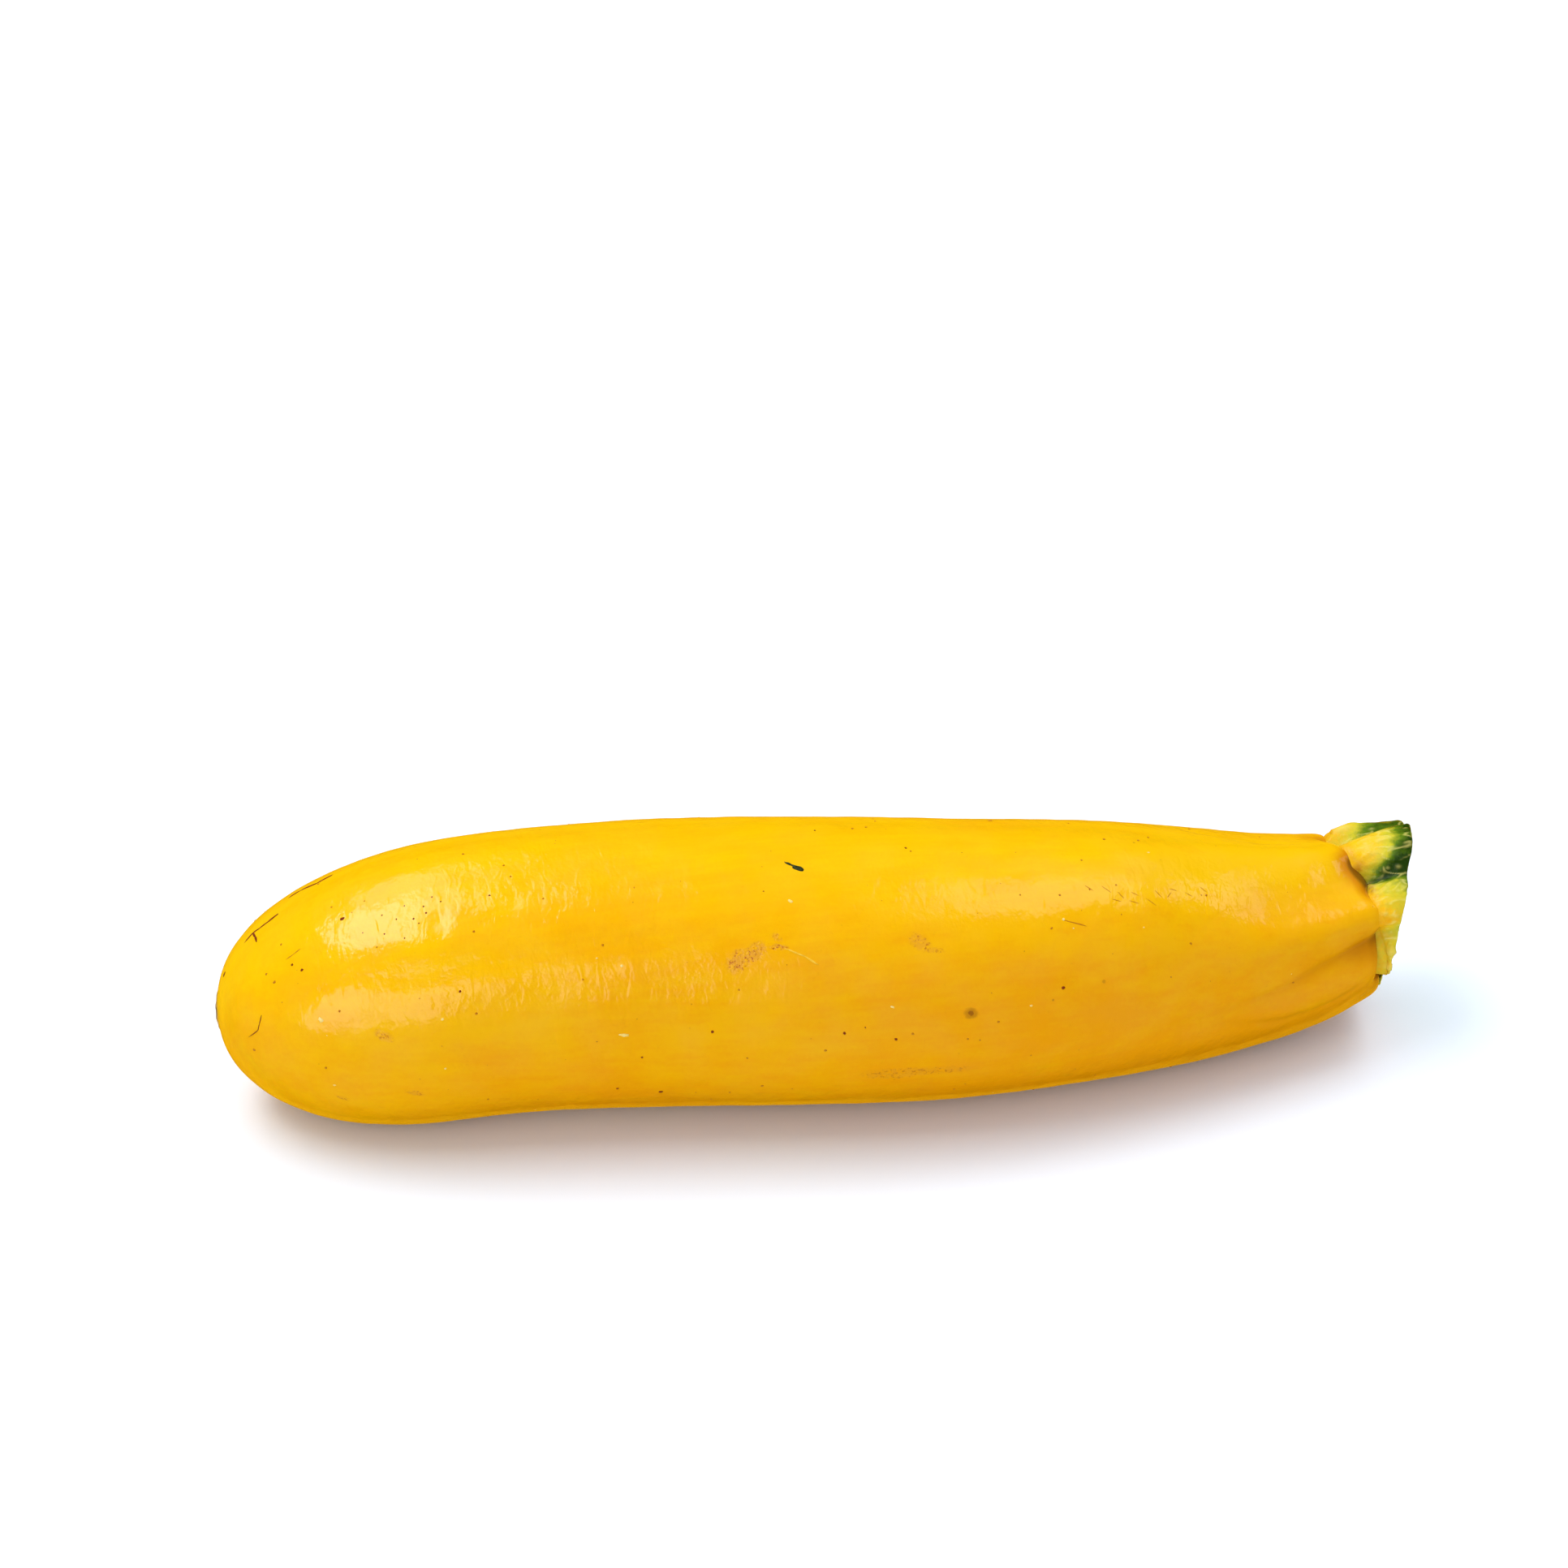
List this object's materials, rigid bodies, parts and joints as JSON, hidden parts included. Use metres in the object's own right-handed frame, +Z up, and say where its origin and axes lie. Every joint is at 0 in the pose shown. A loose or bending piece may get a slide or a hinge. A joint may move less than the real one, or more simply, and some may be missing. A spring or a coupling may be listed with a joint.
{
  "type": "zucchini",
  "caption": "Whole yellow zucchini as picked: slightly bowed fruit with a blunt blossom end and a short ribbed green stem stub cut at a slant, lying on its belly.",
  "frame": {"origin": "on the ground, under the middle of the whole object's box", "axes": "+X from the blossom end to the cut stem end, +Z up from the ground the belly lies on, +Y away from the side towards which the middle bows"},
  "size_m": [0.2018, 0.0542, 0.0476],
  "materials": {
    "skin": "satin",
    "stem_rind": "satin"
  },
  "bodies": {
    "root": {"fruit": "skin", "stem": "stem_rind"}
  },
  "joints": []
}
